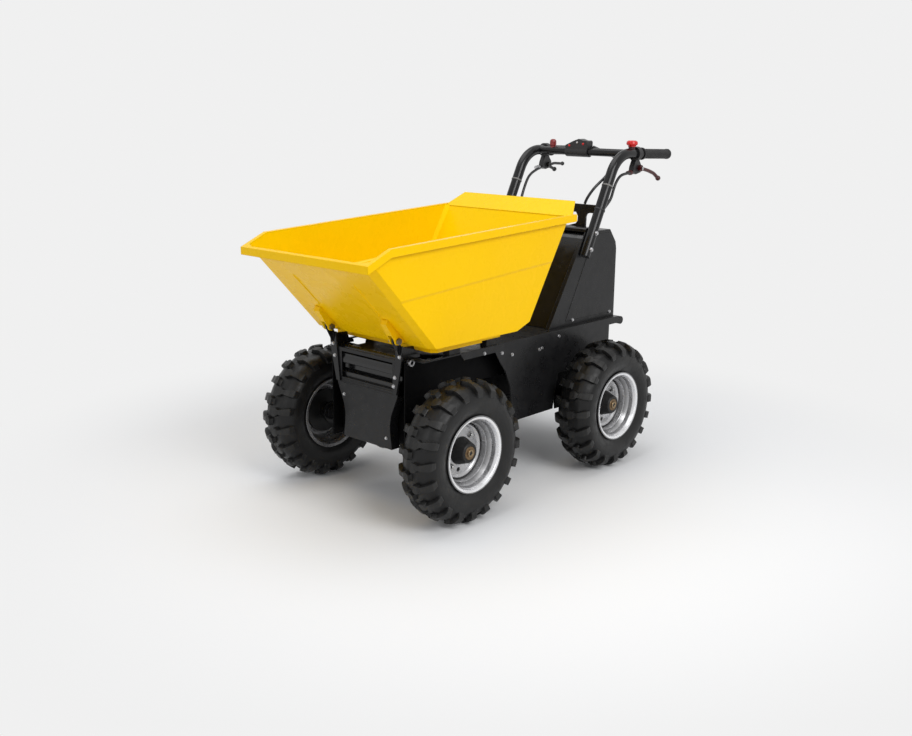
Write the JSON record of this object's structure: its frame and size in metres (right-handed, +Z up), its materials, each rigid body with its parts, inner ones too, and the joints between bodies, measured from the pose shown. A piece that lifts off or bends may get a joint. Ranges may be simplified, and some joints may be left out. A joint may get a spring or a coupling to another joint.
{
  "type": "walk-behind mini dumper",
  "caption": "Walk-behind mini dumper: a yellow tipping skip on a black chassis with knobbly tyres, a rear housing and raised handlebars with brake levers.",
  "frame": {"origin": "on the floor under the middle of the whole outline", "axes": "-Y towards the skip end, which leads; +Y towards the handles; +X to the operator's left; +Z up"},
  "size_m": [0.696, 1.4244, 1],
  "materials": {
    "yellow_paint": "gloss powder coat",
    "dark_paint": "satin powder coat",
    "zinc_steel": "plated",
    "motor_casting": "matt black",
    "battery": "plain block for the battery's mass",
    "rubber": "matt",
    "grip_rubber": "ribbed",
    "control_plastic": "moulded",
    "lever_red": "dark red",
    "lever_black": "black",
    "button_red": "moulded",
    "cable_jacket": "smooth",
    "tyre": "chevron tread",
    "silver_rim": "silver paint",
    "hub_black": "satin black"
  },
  "bodies": {
    "chassis": {"deck_plate": "dark_paint", "side_skirt_left": "dark_paint", "side_skirt_right": "dark_paint", "chassis_rails": "dark_paint", "front_hangers": "dark_paint", "rear_hangers": "dark_paint", "front_plate": "dark_paint", "front_bulkhead": "dark_paint", "front_cross_panel": "dark_paint", "front_posts": "dark_paint", "battery_tray": "dark_paint", "rear_bumper_bar": "dark_paint", "rear_valance": "dark_paint", "housing_side_left": "dark_paint", "housing_side_right": "dark_paint", "housing_front": "dark_paint", "housing_rear": "dark_paint", "housing_top_cover": "dark_paint", "handle_left": "dark_paint", "handle_right": "dark_paint", "handle_crossbar": "dark_paint", "handle_bridge": "dark_paint", "front_axle": "dark_paint", "rear_axle": "dark_paint", "hinge_pins": "zinc_steel", "front_cross_tube": "zinc_steel", "drive_motors": "motor_casting", "battery_block": "battery", "skip_rests": "rubber", "grip_left": "grip_rubber", "grip_right": "grip_rubber", "lever_perch_left": "control_plastic", "lever_perch_right": "control_plastic", "control_console": "control_plastic", "brake_lever_left": "lever_red", "brake_lever_right": "lever_black", "thumb_lever_right": "lever_black", "stop_button": "button_red", "horn_button": "button_red", "brake_cable_left": "cable_jacket", "brake_cable_right": "cable_jacket", "console_cable": "cable_jacket"},
    "skip": {"skip_tub": "yellow_paint", "skip_rim": "yellow_paint", "skip_hinge_lugs": "yellow_paint", "skip_underframe": "yellow_paint"},
    "wheel_front_left": {"tyre_front_left": "tyre", "rim_front_left": "silver_rim", "hub_front_left": "hub_black"},
    "wheel_front_right": {"tyre_front_right": "tyre", "rim_front_right": "silver_rim", "hub_front_right": "hub_black"},
    "wheel_rear_left": {"tyre_rear_left": "tyre", "rim_rear_left": "silver_rim", "hub_rear_left": "hub_black"},
    "wheel_rear_right": {"tyre_rear_right": "tyre", "rim_rear_right": "silver_rim", "hub_rear_right": "hub_black"}
  },
  "joints": [
    {"name": "skip_tip", "type": "hinge", "parent": "chassis", "child": "skip", "pos_m": [0, -0.509, 0.495], "axis": [1, 0, 0], "range_deg": [0, 80]},
    {"name": "wheel_front_left_spin", "type": "hinge", "parent": "chassis", "child": "wheel_front_left", "pos_m": [0.288, -0.412, 0.2], "axis": [1, 0, 0], "continuous": true},
    {"name": "wheel_front_right_spin", "type": "hinge", "parent": "chassis", "child": "wheel_front_right", "pos_m": [-0.288, -0.412, 0.2], "axis": [1, 0, 0], "continuous": true},
    {"name": "wheel_rear_left_spin", "type": "hinge", "parent": "chassis", "child": "wheel_rear_left", "pos_m": [0.288, 0.253, 0.2], "axis": [1, 0, 0], "continuous": true},
    {"name": "wheel_rear_right_spin", "type": "hinge", "parent": "chassis", "child": "wheel_rear_right", "pos_m": [-0.288, 0.253, 0.2], "axis": [1, 0, 0], "continuous": true}
  ]
}
